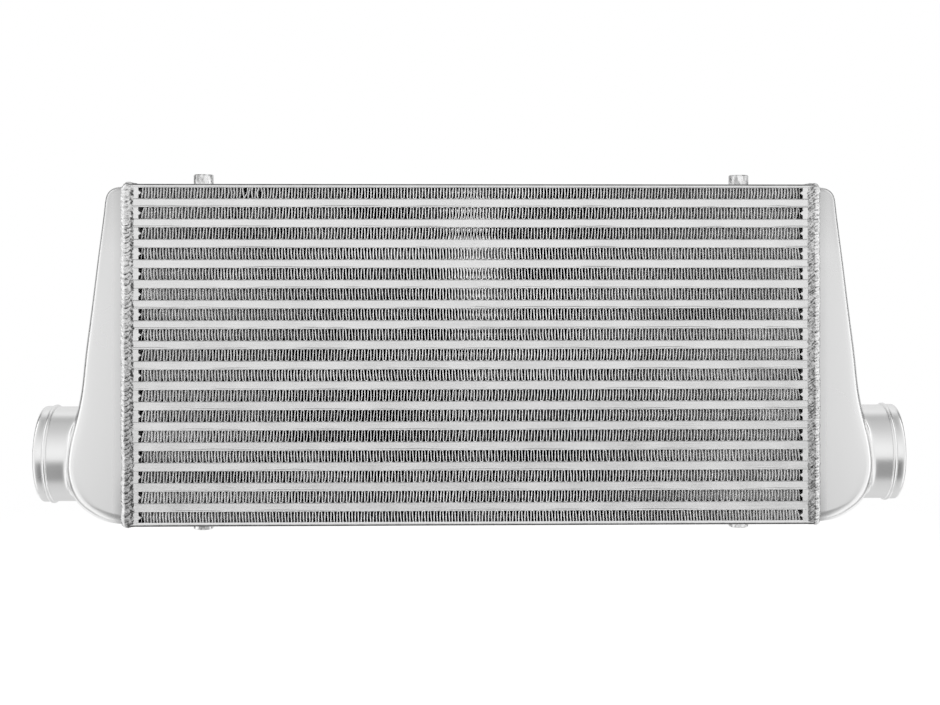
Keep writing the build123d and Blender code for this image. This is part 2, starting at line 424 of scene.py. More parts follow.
def build_passage(name):
    """Outer skin: the profile and its mirror carried along X, the front and rear faces moved in and out
    by smooth noise for dents. Inner skin: the passage's rectangle carried along X. The UV map holds each
    point's share of the length and of the height."""
    low, high = (np.array(corner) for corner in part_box(name))
    middle = (low + high) / 2
    half = (high - low) / 2
    front = passage_profile(half[1], half[2])
    outline = np.concatenate([front, (front * (-1, 1))[::-1][1:-1]])
    skin = carried(outline, middle[2], np.linspace(low[0], high[0], PASSAGE_STEPS))
    is_face = (np.abs(outline[:, 0]) > half[1] - 0.001) & (np.abs(outline[:, 1]) < half[2] - 0.9 * SHEET)
    for sign in (-1, 1):
        moved = is_face & (np.sign(outline[:, 0]) == sign)
        dent = smooth_noise(PASSAGE_STEPS, *FINE_DENTS) + smooth_noise(PASSAGE_STEPS, *WIDE_DENTS)
        slope = smooth_noise(PASSAGE_STEPS, *FACE_TILT)
        skin[:, moved, 1] -= sign * (FACE_STAND + dent[:, None] + slope[:, None] * outline[moved, 1])
    inner_half = half[1:] - (BAR_WIDTH, SHEET)
    hole = np.array([(-1, -1), (1, -1), (1, 1), (-1, 1)]) * inner_half
    bore = carried(hole, middle[2], (high[0], low[0]))
    count = len(outline)
    outer_faces = grid_faces(PASSAGE_STEPS, count, wrap=True)
    bore_faces = grid_faces(2, 4, wrap=True, first=skin.shape[0] * count)
    points = np.concatenate([skin.reshape(-1, 3), bore.reshape(-1, 3)])
    piece = new_mesh(f"{name}_brazed", points, np.concatenate([outer_faces, bore_faces]))
    close_ends(piece, skin.shape[0] * count, count)
    mark_points(piece, "across", ((points - low) / (high - low))[:, [0, 2]])
    clean(piece, 30)
    return piece


def close_ends(piece, first_bore, count):
    """Fills the two ends of a passage, each between its outline and the four corners of its hole."""
    work = bmesh.new()
    work.from_mesh(piece.data)
    work.verts.ensure_lookup_table()
    ends = (0, first_bore + 4), (first_bore - count, first_bore)
    for outline_start, hole_start in ends:
        loops = [(outline_start, count), (hole_start, 4)]
        edges = []
        for start, size in loops:
            for n in range(size):
                pair = work.verts[start + n], work.verts[start + (n + 1) % size]
                edges.append(work.edges.get(pair) or work.edges.new(pair))
        bmesh.ops.triangle_fill(work, edges=edges, use_beauty=True, use_dissolve=False)
    work.to_mesh(piece.data)
    work.free()


def mark_points(piece, name, marks):
    """A UV map that holds two levels for each of a piece's points."""
    corners = np.zeros(len(piece.data.loops), dtype=np.int32)
    piece.data.loops.foreach_get("vertex_index", corners)
    layer = piece.data.uv_layers.new(name=name)
    layer.uv.foreach_set("vector", marks[corners].astype(np.float32).ravel())


for number in range(1, PASSAGES + 1):
    passage_name = f"charge_passage_{number:02d}"
    passage = build_passage(passage_name)
    passage.data.materials.append(passage_finish)
    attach(passage, "root")
    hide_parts(passage_name)


# Side plates
# A plain plate closes the stack above the first row of fins and another below the last one. They are cut
# from sheet, so their edges are only broken, and they are brazed on with the rest.
PLATE_EDGE = 0.0003
PLATE_BRAZE = 0.0009
# depth of the painted shade along the plates' outer edges
PLATE_SHADE = 0.0013
PLATE_STAND = 0.00012
PLATE_WAVES = (40, 0.0001)
PLATE_STEPS = 60

core_corner = np.array(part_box("top_side_plate")[1])
plate_finish = bar_metal("cut_plate", jointed=False, rim=core_corner[1:] - PLATE_SHADE)


def build_plate(name):
    """The plate's section, a rectangle with broken edges, carried along X with a slight waviness. It is
    thicker by the braze that runs along its fins."""
    low, high = (np.array(corner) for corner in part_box(name))
    inner = low if high[2] > 0 else high
    inner[2] -= np.sign(high[2]) * PLATE_BRAZE
    middle = (low + high) / 2
    half_depth, half_height = (high - low)[1:] / 2
    corner = np.array([(half_depth, half_height - PLATE_EDGE),
                       (half_depth - 0.3 * PLATE_EDGE, half_height - 0.3 * PLATE_EDGE),
                       (half_depth - PLATE_EDGE, half_height)])
    outline = np.concatenate([corner, corner[::-1] * (-1, 1), corner * (-1, -1), corner[::-1] * (1, -1)])
    skin = carried(outline, middle[2], np.linspace(low[0], high[0], PLATE_STEPS))
    skin[..., 1] -= np.sign(outline[:, 0]) * (PLATE_STAND + smooth_noise(PLATE_STEPS, *PLATE_WAVES))[:, None]
    faces = grid_faces(PLATE_STEPS, len(outline), wrap=True)
    piece = new_mesh(f"{name}_cut", skin.reshape(-1, 3), faces)
    clean(piece, 30, cap=True)
    return piece


for plate_name in ("top_side_plate", "bottom_side_plate"):
    plate = build_plate(plate_name)
    plate.data.materials.append(plate_finish)
    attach(plate, "root")
    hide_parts(plate_name)


# Air fins
# One long strip of thin sheet folded up and down fills each open row, brazed to the parting sheets at its
# crests. Each leg is rolled into waves through the depth. Some legs near the top left are bent.
AIR_ROWS = 17
FIN_SHEET = 0.00022
FIN_PITCH = 0.00265
FIN_SLOPE = 0.00018
FIN_LEAN = 0.00020
CREST_RISE = 0.00045
WAVE_LENGTH = 0.0108
WAVE_SWING = 0.00098
SWING_GAIN = 1.5  # share by which the waves grow, a metre along the row
FIN_DEPTHS = np.array([0.0, 0.0018, 0.0036, 0.0054])
MID_STEP = 0.0007
MID_SWING = 0.0013
LEFT_ROWS = (4, 5, 6, 7, 8, 10, 14, 17)
FIN_END = 0.0008  # from the row's end to the middle of the first leg
BENT_PLACE = -0.193
BENT_WIDTH = 0.020
BENT_LEAN = 0.0006
BENT_DRIFT = 0.0002
END_LEANS = (0.0014, 0.0007)  # the most that a row's last and next to last leg lean
LEG_NOISE = 0.00003
LEAN_NOISE = 0.00004
LEAN_DRIFT = (24, 0.00009)  # knots along the row, and size
BOW_DRIFT = (16, 0.00008)
WAVE_DRIFT = (9, 0.22)

fin_finish, fin_place, fin_shader = metal("folded_sheet", 0.34)
fin_shader.inputs["Metallic"].default_value = 0.30  # braze flux leaves the thin sheet chalky
fin_patch = fin_place.noise(55, 3)
fin_speck = fin_place.noise(900, 2)
fin_tone = (0.7 * fin_patch + 0.3 * fin_speck).rise(0.35, 0.65)
# painted shade: the sheet darkens with depth behind the core's front face, where shade fills the channels;
# towards the row ends that shade is lifted, a painted light, and about the first millimetre of the front is
# darkened instead, a painted shade
fin_below = (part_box("air_fin_01")[1][1] - abs(fin_place.part(1))) * 100
fin_depth_shade = fin_below.ramp([(0.14, 1.0), (0.24, 0.60), (0.42, 0.30), (0.90, 0.12)])
fin_end = (abs(fin_place.part(0)) * 3).rise(0.22, 0.80)
fin_front_shade = fin_below.fall(0.06, 0.16) * fin_end
fin_grey = (fin_depth_shade + (1 - fin_depth_shade) * fin_end) * (0.82 + 0.12 * fin_tone - 0.34 * fin_front_shade)
feed(fin_shader, Base_Color=fin_grey.mix(0.0, 1.0), Roughness=0.30 + 0.12 * fin_tone,
     Normal=bump(fin_speck, 0.00008))


def unit(ways):
    """Vectors in rows, each brought to length 1."""
    return ways / np.linalg.norm(ways, axis=1, keepdims=True)


def along_row(local, legs, knots, size):
    """Smooth noise over the legs of a row: random values at knots, read along straight lines."""
    return np.interp(np.arange(legs), np.linspace(0, legs - 1, knots), local.normal(0, size, knots))


def build_fin(name, number):
    """Centre line in X and Z, four points a leg: lower corner, middle, upper corner and the crown of the
    fold after it, with random lean, bow and shift. Through the depth each leg sways as a sine, to the left
    or the right by its row, and steps over by half a pitch in the middle. The sheet's two sides stand half
    its thickness from that line along its normal in the XZ plane, and the tube's two ends are closed."""
    low, high = (np.array(corner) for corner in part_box(name))
    legs = 2 * round((high[0] - low[0]) / FIN_PITCH / 2)
    pitch = (high[0] - low[0] - 2 * FIN_END) / (legs - 1)
    middle = low[0] + FIN_END + pitch * np.arange(legs)
    local = np.random.default_rng(100 + number)
    way = -1.0 if number in LEFT_ROWS else 1.0
    rising = np.where(np.arange(legs) % 2 == 0, 1.0, -1.0)
    shift = local.normal(0, LEG_NOISE, legs)
    lean = way * FIN_LEAN + along_row(local, legs, *LEAN_DRIFT) + local.normal(0, LEAN_NOISE, legs)
    bow = local.normal(0, LEG_NOISE, legs) + along_row(local, legs, *BOW_DRIFT)
    if number == 1:
        bent = np.exp(-((middle - BENT_PLACE) / BENT_WIDTH) ** 2)
        lean = lean + bent * local.normal(BENT_DRIFT, BENT_LEAN, legs)
        bow = bow + bent * local.normal(0.0, BENT_LEAN, legs)
    lean[:2] += local.uniform(0, 1, 2) * END_LEANS
    lean[-2:] -= local.uniform(0, 1, 2) * END_LEANS[::-1]
    top = (high[2] - low[2]) / 2 - FIN_SHEET / 2
    level = np.array([-1.0, 0.0, 1.0])
    x = np.zeros((legs, 4))
    z = np.zeros((legs, 4))
    x[:, :3] = (middle + shift)[:, None] + level * FIN_SLOPE + rising[:, None] * level * lean[:, None]
    x[:, 1] += bow
    x[:-1, 3] = (x[:-1, 2] + x[1:, 0]) / 2
    z[:, :3] = rising[:, None] * level * (top - CREST_RISE)
    z[:, 3] = rising * top
    line = np.stack([x.ravel(), z.ravel()], axis=-1)[:-1]
    line[:, 0] = np.clip(line[:, 0], low[0] + FIN_SHEET, high[0] - FIN_SHEET)
    along = unit(np.gradient(line, axis=0))
    across = np.stack([-along[:, 1], along[:, 0]], axis=-1) * FIN_SHEET / 2
    ribbon = np.concatenate([line + across, (line - across)[::-1]])
    ribbon[:, 1] = np.clip(ribbon[:, 1], -top - FIN_SHEET / 2, top + FIN_SHEET / 2)
    depth = high[1] - low[1]
    middle_two = depth / 2 + np.array([-0.5, 0.5]) * MID_STEP
    stations = np.concatenate([FIN_DEPTHS, middle_two, depth - FIN_DEPTHS[::-1]])
    phase = np.repeat(along_row(local, legs, *WAVE_DRIFT), 4)[:len(line)]
    phase = np.concatenate([phase, phase[::-1]])
    turns_in = 2 * pi * np.minimum(stations, depth - stations) / WAVE_LENGTH
    swing = way * WAVE_SWING + SWING_GAIN * WAVE_SWING * ribbon[:, 0]
    sway = swing * (np.sin(turns_in[:, None] + phase) - np.sin(phase))
    first_middle = len(FIN_DEPTHS)
    sway[first_middle] = -MID_SWING
    sway[first_middle + 1] = MID_SWING
    hold = 0.55 + 0.45 * np.clip(1 - np.abs(ribbon[:, 1] / top) ** 3, 0, 1)
    points = np.zeros((len(stations), len(ribbon), 3))
    points[..., 0] = np.clip(ribbon[:, 0] + sway * hold, low[0], high[0])
    points[..., 1] = low[1] + stations[:, None]
    points[..., 2] = (low[2] + high[2]) / 2 + ribbon[:, 1]
    count = len(ribbon)
    sides = grid_faces(len(stations), count, wrap=True)
    near = np.arange(count // 2 - 1)
    front = np.stack([near, near + 1, count - 2 - near, count - 1 - near], axis=-1)
    back = front[:, ::-1] + (len(stations) - 1) * count
    piece = new_mesh(f"{name}_folded", points.reshape(-1, 3), np.concatenate([sides, front, back]))
    clean(piece, 40)
    return piece


for number in range(1, AIR_ROWS + 1):
    fin_name = f"air_fin_{number:02d}"
    fin = build_fin(fin_name, number)
    fin.data.materials.append(fin_finish)
    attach(fin, "root")
    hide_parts(fin_name)


# Charge fins
# The same thin sheet, folded wider, fills each passage between its bars and is brazed to the parting
# sheets. It is seen only through the necks, so it keeps its shape from the frame.
for number in range(1, PASSAGES + 1):
    nodes[f"charge_fin_{number:02d}"].material_slots[0].material = fin_finish


# End bars
# A short bar with a pointed nose closes each end of every air row. They are cut from extruded bar and
# brazed in, and their front faces are the brightest of the core.
END_EDGE = 0.0004
NOSE_REACH = 0.0023
NOSE_HALF = 0.0021
NOSE_BLUNT = 0.0002
NOSE_ROUND = 0.0003


def build_end_bars(name, side):
    """Section in X and Z, a rectangle with a small pointed nose on its inner face, carried through the
    depth. Its first and last section stand in by the edge's size, for a broken edge."""
    low, high = (np.array(corner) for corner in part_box(name))
    joint, nose = (high[0], low[0]) if side > 0 else (low[0], high[0])
    body = nose + side * NOSE_REACH
    rows = [np.array(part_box(f"air_fin_{row:02d}")) for row in range(1, AIR_ROWS + 1)]
    depths = np.array([low[1], low[1] + END_EDGE, high[1] - END_EDGE, high[1]])
    inset = np.array([END_EDGE, 0.0, 0.0, END_EDGE])
    points = []
    faces = []
    for row in rows:
        bottom, top = row[0][2], row[1][2]
        middle = (bottom + top) / 2
        half = (top - bottom) / 2
        outline = np.array([(joint, -half), (body, -half), (body, -NOSE_HALF),
                            (nose + side * NOSE_BLUNT, -NOSE_ROUND), (nose, 0.0),
                            (nose + side * NOSE_BLUNT, NOSE_ROUND),
                            (body, NOSE_HALF), (body, half), (joint, half)])
        ways = unit(outline - ((joint + body) / 2, 0.0))
        section = outline - inset[:, None, None] * ways
        block = np.zeros((4, len(outline), 3))
        block[..., 0] = section[..., 0]
        block[..., 1] = depths[:, None]
        block[..., 2] = middle + section[..., 1]
        faces.append(grid_faces(4, len(outline), wrap=True, first=4 * len(outline) * len(points)))
        points.append(block.reshape(-1, 3))
    piece = new_mesh(f"{name}_cut", np.concatenate(points), np.concatenate(faces))
    clean(piece, 25, cap=True)
    return piece


bar_finish = bar_metal("plain_bar", jointed=False)
for bars_name, side in (("left_end_bars", -1), ("right_end_bars", 1)):
    end_bars = build_end_bars(bars_name, side)
    end_bars.data.materials.append(bar_finish)
    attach(end_bars, "root")
    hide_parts(bars_name)


# End tanks
# Each tank is one hollow aluminium casting with a satin skin: a thin shoulder, a long sloping flank and a
# round bowl with the hose neck, whose outside, bead and rim are turned bright. It is welded to the core.
TANK_WALL = 0.004
FLANK_STATIONS = 4
OUTLINE = np.array([  # out from the joint, down from the core's top, radius of the rounded edge
    (0.0, 2.1, 5.0), (7.0, 2.5, 5.0), (13.0, 3.9, 5.0), (17.0, 6.8, 5.2), (19.3, 11.1, 5.5),
    (20.6, 18.0, 6.0), (43.5, 191.1, 10.0), (47.0, 204.1, 11.0), (51.6, 218.1, 12.5), (56.2, 233.1, 14.5),
    (58.3, 248.1, 15.5), (56.8, 263.6, 16.5), (51.0, 278.1, 17.0), (42.0, 287.8, 16.0),
    (31.0, 294.0, 14.0), (17.0, 298.0, 11.0), (0.0, 299.4, 9.0),
]) / 1000
FLANK_START = 5
OUTLINE_STEPS = 130
REACH_STEPS = 900
CREASE_TILT = radians(56)  # where the bowl's rounded edge meets its flatter side, in a fine line
CREASE_START = 0.010
CREASE_SPAN = 0.005
ARC_STEPS = 8
EDGE_TILTS = np.concatenate([np.linspace(0, CREASE_TILT, ARC_STEPS + 1),
                             np.linspace(CREASE_TILT, pi / 2, 6)[1:]])
FACE_COLUMNS = 8
CREASE_COLUMN = FACE_COLUMNS + ARC_STEPS
NECK_DROP = 0.2422  # the neck's axis below the core's top
NECK_RADIUS = 0.0425
NECK_WALL = 0.004
NECK_ROOT = 0.003
ROOT_DEPTH = 0.0015  # how far the neck's root reaches into the casing's wall
BEAD_PLACE = 0.0126  # inner foot of the bead, in from the rim
BEAD_WIDTH = 0.004
BEAD_RISE = 0.00175
RING_RISE = 0.0005
RIM_ROUND = 0.003
RIM_BREAK = 0.0004
NECK_TURNS = 144

joint_x, core_front, core_top = core_corner
rim_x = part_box("right_end_tank")[1][0]
neck_z = core_top - NECK_DROP


def smooth_through(stations, count):
    """Natural cubic spline through stations at steps of their distance: its second derivatives solve the
    tridiagonal system that makes the slope continuous. Returns count points at even steps."""
    steps = np.linalg.norm(np.diff(stations[:, :2], axis=0), axis=1)
    total = np.concatenate([[0.0], np.cumsum(steps)])
    slopes = np.diff(stations, axis=0) / steps[:, None]
    system = np.eye(len(stations))
    inner = np.arange(1, len(stations) - 1)
    system[inner, inner - 1] = steps[:-1]
    system[inner, inner] = 2 * (steps[:-1] + steps[1:])
    system[inner, inner + 1] = steps[1:]
    change = np.zeros_like(stations)
    change[1:-1] = 6 * np.diff(slopes, axis=0)
    bend = np.linalg.solve(system, change)
    at = np.linspace(0.0, total[-1], count)
    low = np.clip(np.searchsorted(total, at, side="right") - 1, 0, len(steps) - 1)
    step = steps[low][:, None]
    before = (total[low + 1] - at)[:, None] / step
    after = 1 - before
    curve = (before ** 3 - before) * bend[low] + (after ** 3 - after) * bend[low + 1]
    return before * stations[low] + after * stations[low + 1] + curve * step ** 2 / 6


def tank_outline(count):
    """The casting's outline as x, z and edge radius, and its outward normal, for the right-hand tank."""
    shares = np.linspace(0, 1, FLANK_STATIONS + 2)[1:-1, None]
    flank = OUTLINE[FLANK_START] * (1 - shares) + OUTLINE[FLANK_START + 1] * shares
    stations = np.concatenate([OUTLINE[:FLANK_START + 1], flank, OUTLINE[FLANK_START + 1:]])
    stations = stations * (1, -1, 1) + (joint_x, core_top, 0)
    line = smooth_through(stations, count)
    along = unit(np.gradient(line[:, :2], axis=0))
    return line, np.stack([-along[:, 1], along[:, 0]], axis=-1)


def edge_radii(edge, wall):
    """Radii of the two arcs of a rounded edge: the first turns from the face, the second on to the side.
    They are one circle on the flank, and in the bowl the second is far flatter, with a line between."""
    crease = np.clip((edge - CREASE_START) / CREASE_SPAN, 0, 1) * (wall == 0)
    first = np.maximum(edge - wall, 0.001) * (1 - 0.55 * crease)
    return first, first + 2.0 * edge * crease


def edge_points(edge, wall, tilts):
    """Inset from the outline and depth below the face of a rounded edge, where it has turned by tilts."""
    first, second = (radius[:, None] for radius in edge_radii(edge, wall))
    on_first = np.minimum(tilts, CREASE_TILT)
    on_second = np.maximum(tilts, CREASE_TILT)
    full = first * np.sin(CREASE_TILT) + second * (1 - np.sin(CREASE_TILT))
    inset = full - first * np.sin(on_first) - second * (np.sin(on_second) - np.sin(CREASE_TILT))
    depth = first * (1 - np.cos(on_first)) + second * (np.cos(CREASE_TILT) - np.cos(on_second))
    return inset, depth


def casing_grid(wall):
    """The casing's skin, a wall's thickness inside its outer form. A row lies at one point of the outline:
    across the front face from the joint, round the edge as two arcs, straight through the depth, and the
    same back over the rear."""
    line, outward = tank_outline(OUTLINE_STEPS)
    inset, depth = edge_points(line[:, 2], wall, EDGE_TILTS)
    half = core_front - wall
    skin = line[:, None, :2] - outward[:, None] * (wall + inset)[..., None]
    rounding = np.stack([skin[..., 0], depth - half, skin[..., 1]], axis=-1)
    shares = np.linspace(0, 1, FACE_COLUMNS + 1)[:-1]
    face_x = joint_x + (rounding[:, :1, 0] - joint_x) * shares
    face = np.stack([face_x, np.full_like(face_x, -half), rounding[:, :1, 2] + 0 * shares], axis=-1)
    front = np.concatenate([face, rounding], axis=1)
    middle_y = rounding[:, -1:, 1] * np.linspace(1, -1, 10)[1:-1]
    rest = rounding[:, -1:, :] + np.zeros((1, 8, 1))
    middle = np.stack([rest[..., 0], middle_y, rest[..., 2]], axis=-1)
    grid = np.concatenate([front, middle, (front * (1, -1, 1))[:, ::-1]], axis=1)
    grid[0, :, 0] = joint_x
    grid[-1, :, 0] = joint_x
    return grid


def wall_reach(y, z, wall):
    """X of the casing's wall over points (y, z). Each point has its own section of the rounded wall, X as
    a function of Z, read between the two stations that it lies between."""
    line, outward = tank_outline(REACH_STEPS)
    tilts = np.linspace(0, pi / 2, 60)
    insets, depths = edge_points(line[:, 2], wall, tilts)
    below = core_front - wall - np.abs(y)
    x_at = np.zeros((len(y), len(line)))
    z_at = np.zeros((len(y), len(line)))
    for station, (inset, depth) in enumerate(zip(insets, depths)):
        reach = wall + np.interp(below, depth, inset)
        x_at[:, station] = line[station, 0] - outward[station, 0] * reach
        z_at[:, station] = line[station, 1] - outward[station, 1] * reach
    after = (z_at < z[:, None]).argmax(axis=1)
    row = np.arange(len(z))
    share = (z_at[row, after - 1] - z) / (z_at[row, after - 1] - z_at[row, after])
    return x_at[row, after - 1] * (1 - share) + x_at[row, after] * share


def casing_mesh(name):
    """The outer and inner skin joined round the open joint side, as one closed wall. Its UV map is 1 on
    the line where the two arcs of the bowl's edge meet, and 0 off it; the casting's finish paints shade
    along that line."""
    skins = [casing_grid(0.0), casing_grid(TANK_WALL)]
    rows, columns = skins[0].shape[:2]
    numbers = np.arange(rows * columns).reshape(rows, columns)
    rim = np.concatenate([numbers[0], numbers[1:, -1], numbers[-1, -2::-1], numbers[-2:0:-1, 0]])
    following = np.roll(rim, -1)
    size = rows * columns
    ring = np.stack([rim, following, following + size, rim + size], axis=-1)
    inner = grid_faces(rows, columns, first=size)[:, ::-1]
    faces = np.concatenate([grid_faces(rows, columns), inner, ring])
    piece = new_mesh(name, np.concatenate([skin.reshape(-1, 3) for skin in skins]), faces)
    line = tank_outline(OUTLINE_STEPS)[0]
    creased = np.clip((line[:, 2] - CREASE_START) / CREASE_SPAN, 0, 1)
    marks = np.zeros((2, rows, columns, 2))
    for column in (CREASE_COLUMN, columns - 1 - CREASE_COLUMN):
        marks[0, :, column] = creased[:, None]
    mark_points(piece, "crease", marks.reshape(-1, 2))
    clean(piece)
    return piece


def cut_bore(piece):
    """Cuts the hole under the neck with an exact Boolean, and keeps the result as the piece's mesh."""
    spin = np.linspace(0, 2 * pi, NECK_TURNS, endpoint=False)
    radius = NECK_RADIUS - NECK_WALL / 2
    ring = np.stack([0 * spin, radius * np.sin(spin), neck_z + radius * np.cos(spin)], axis=-1)
    tube = np.stack([ring + (joint_x + 0.02, 0, 0), ring + (rim_x + 0.01, 0, 0)])
    cutter = new_mesh("bore_cutter", tube.reshape(-1, 3), grid_faces(2, NECK_TURNS, wrap=True))
    clean(cutter, cap=True)
    cut = piece.modifiers.new("bore", "BOOLEAN")
    cut.operation = "DIFFERENCE"
    cut.object = cutter
    cut.solver = "EXACT"
    bpy.context.view_layer.update()
    done = bpy.data.meshes.new_from_object(piece.evaluated_get(bpy.context.evaluated_depsgraph_get()))
    piece.modifiers.clear()
    piece.data = done
    bpy.data.objects.remove(cutter)


def neck_mesh(name):
    """A profile of distance out and radius, turned about the neck's axis. Its root is a quadratic curve
    from the casing's wall to the neck, so its first points move with the wall round the turn."""
    spin = np.linspace(0, 2 * pi, NECK_TURNS, endpoint=False)
    over_y, over_z = np.sin(spin), np.cos(spin)
    bore = NECK_RADIUS - NECK_WALL

    def wall_at(radius, wall=0.0):
        return wall_reach(radius * over_y, neck_z + radius * over_z, wall)

    foot, corner = wall_at(NECK_RADIUS + NECK_ROOT), wall_at(NECK_RADIUS)
    blend = np.linspace(0, 1, 8)[:, None]
    root_x = (1 - blend) ** 2 * (foot - 0.00003) + 2 * blend * (1 - blend) * corner
    root_x = root_x + blend ** 2 * (corner + NECK_ROOT)
    root_radius = NECK_RADIUS + NECK_ROOT * (1 - blend) ** 2 + 0 * root_x
    bead_foot = rim_x - BEAD_PLACE
    arc = np.linspace(0, pi, 11)
    bead = np.stack([bead_foot + BEAD_WIDTH / 2 * (1 - np.cos(arc)),
                     NECK_RADIUS + BEAD_RISE * np.sin(arc)], axis=-1)
    bead_end = bead_foot + BEAD_WIDTH
    ring_radius = NECK_RADIUS + RING_RISE
    round_off = np.linspace(0, pi / 2, 9)
    nose = np.stack([rim_x - RIM_ROUND + RIM_ROUND * np.sin(round_off),
                     ring_radius - RIM_ROUND + RIM_ROUND * np.cos(round_off)], axis=-1)
    turned = np.concatenate([
        bead, [(bead_end + 0.0002, NECK_RADIUS + 0.0001), (bead_end + 0.0004, ring_radius - 0.0001),
               (bead_end + 0.0007, ring_radius), (rim_x - RIM_ROUND - 0.0015, ring_radius)],
        nose, [(rim_x, bore + RIM_BREAK), (rim_x - 0.3 * RIM_BREAK, bore + 0.3 * RIM_BREAK),
               (rim_x - RIM_BREAK, bore)],
    ])
    straight = np.linspace(0.15, 0.9, 4)[:, None]
    neck_x = (corner + NECK_ROOT) * (1 - straight) + bead_foot * straight
    inner_end = wall_at(bore, TANK_WALL) + 0.0004
    inside = np.linspace(0.05, 0.95, 8)[:, None]
    bore_x = (rim_x - RIM_BREAK) * (1 - inside) + inner_end * inside
    hidden_x = [wall_at(NECK_RADIUS - ROOT_DEPTH, TANK_WALL) + 0.0005, foot - ROOT_DEPTH]
    xs = np.concatenate([root_x, neck_x, turned[:, :1] + 0 * spin, bore_x, [inner_end], hidden_x])
    radii = np.concatenate([root_radius, NECK_RADIUS + 0 * neck_x, turned[:, 1:] + 0 * spin,
                            bore + 0 * bore_x, [bore + 0 * spin], [NECK_RADIUS - ROOT_DEPTH + 0 * spin],
                            [NECK_RADIUS + NECK_ROOT - 0.0005 + 0 * spin]])
    points = np.stack([xs, radii * over_y, neck_z + radii * over_z], axis=-1)
    faces = grid_faces(*points.shape[:2], wrap=True, ring=True)
    piece = new_mesh(name, points.reshape(-1, 3), faces)
    clean(piece, 50)
    return piece


def join_meshes(name, first, second):
    """One mesh of two pieces, the second's faces on the second material slot."""
    work = bmesh.new()
    work.from_mesh(first.data)
    body_faces = len(work.faces)
    work.from_mesh(second.data)
    work.faces.ensure_lookup_table()
    for face in work.faces[body_faces:]:
        face.material_index = 1
    work.to_mesh(first.data)
    work.free()
    bpy.data.objects.remove(second)
    first.name = name
    first.data.name = name
    return first


def mirrored(name, piece):
    """The same piece on the other side, its faces turned back outwards."""
    mesh = piece.data.copy()
    mesh.transform(((-1, 0, 0, 0), (0, 1, 0, 0), (0, 0, 1, 0), (0, 0, 0, 1)))
    mesh.flip_normals()
    other = bpy.data.objects.new(name, mesh)
    bpy.context.scene.collection.objects.link(other)
    return other


cast_finish, cast_place, cast_shader = metal("satin_casting", 0.30)
cast_cloud = cast_place.noise(9, 3)
cast_grain = cast_place.noise(1300, 2)
from_joint = abs(cast_place.part(0)) - joint_x
# the casting is rougher near the weld, and its colour there gets painted shade, deepest at the bottom
near_weld = (from_joint * 40 + 0.10 * cast_place.noise(140, 3)).fall(0.18, 0.55)
cast_tone = cast_cloud.rise(0.35, 0.65)
cast_up = cast_place.part(2)
# painted light brightens the bowl away from the joint and lower down; painted shade darkens the top and the
# fine line of the bowl's crease
bowl_light = (from_joint * 12 - cast_up * 2.5).rise(0.0, 0.8)
top_shade = (cast_up * 5).rise(0.45, 0.75)
cast_foot = (0 - cast_up * 5).rise(0.50, 0.74)
crease_shade = cast_place.own_map().part(0).rise(0.25, 0.75)
painted_light_and_tone = 0.12 * bowl_light + 0.03 * cast_tone
painted_cast_shade = 0.13 * top_shade + near_weld * (0.06 + 0.30 * cast_foot) + 0.50 * crease_shade
cast_grey = 0.72 + painted_light_and_tone - painted_cast_shade
feed(cast_shader, Base_Color=cast_grey.mix(0.0, 1.0), Roughness=0.24 + 0.05 * cast_tone + 0.12 * near_weld,
     Normal=bump(cast_grain, 0.00002))

turned_finish, turned_place, turned_shader = metal("turned_neck", 0.10)
tool_marks = turned_place.noise(1, 2, stretch=(2600, 25, 25))
turned_haze = turned_place.noise(60, 3)
feed(turned_shader, Base_Color=turned_haze.mix(0.92, 0.98), Roughness=0.02 + 0.03 * turned_haze,
     Normal=bump(tool_marks, 0.00001))

right_casing = casing_mesh("right_casing")
cut_bore(right_casing)
right_casing.data.set_sharp_from_angle(angle=radians(35))
right_tank = join_meshes("right_end_tank_cast", right_casing, neck_mesh("right_neck"))
right_tank.data.materials.clear()
right_tank.data.materials.append(cast_finish)
right_tank.data.materials.append(turned_finish)
left_tank = mirrored("left_end_tank_cast", right_tank)
for tank, tank_name in ((right_tank, "right_end_tank"), (left_tank, "left_end_tank")):
    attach(tank, "root")
    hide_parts(tank_name)


# Tank welds
# A weaved weld bead runs round each joint between core and tank. Its ripples point along the seam, its
# crest lies nearer the tank, where it is smooth and bright, and the core side is rough and pitted.
# Painted shade darkens the bead's grooves and pits, the rope's core-side flank and its toe on the tank.
WELD_HALF = 0.00575
WELD_CREST = 0.0018
WELD_SHELF = 0.0009
WELD_CORNER = 0.005
WELD_ROOT = 0.0032
RIPPLE_DEPTH = 0.00060
STROKE_PITCH = 0.0030
STROKE_DEPTH = 0.00040
WELD_STEP = 0.0004
WELD_ACROSS = 21
WELD_ROUGH = 0.00016
TOP_DROP = 0.0027  # how far the casting's top lies below the core's, and its foot above the core's
FOOT_DROP = 0.0013
GROOVE_PLACE = 0.90  # share of the way through a ripple, where its groove's painted shade lies
CLEAN_CREST = 0.45  # where the rope's crest has little painted groove shade, from -1 at the core's toe to 1
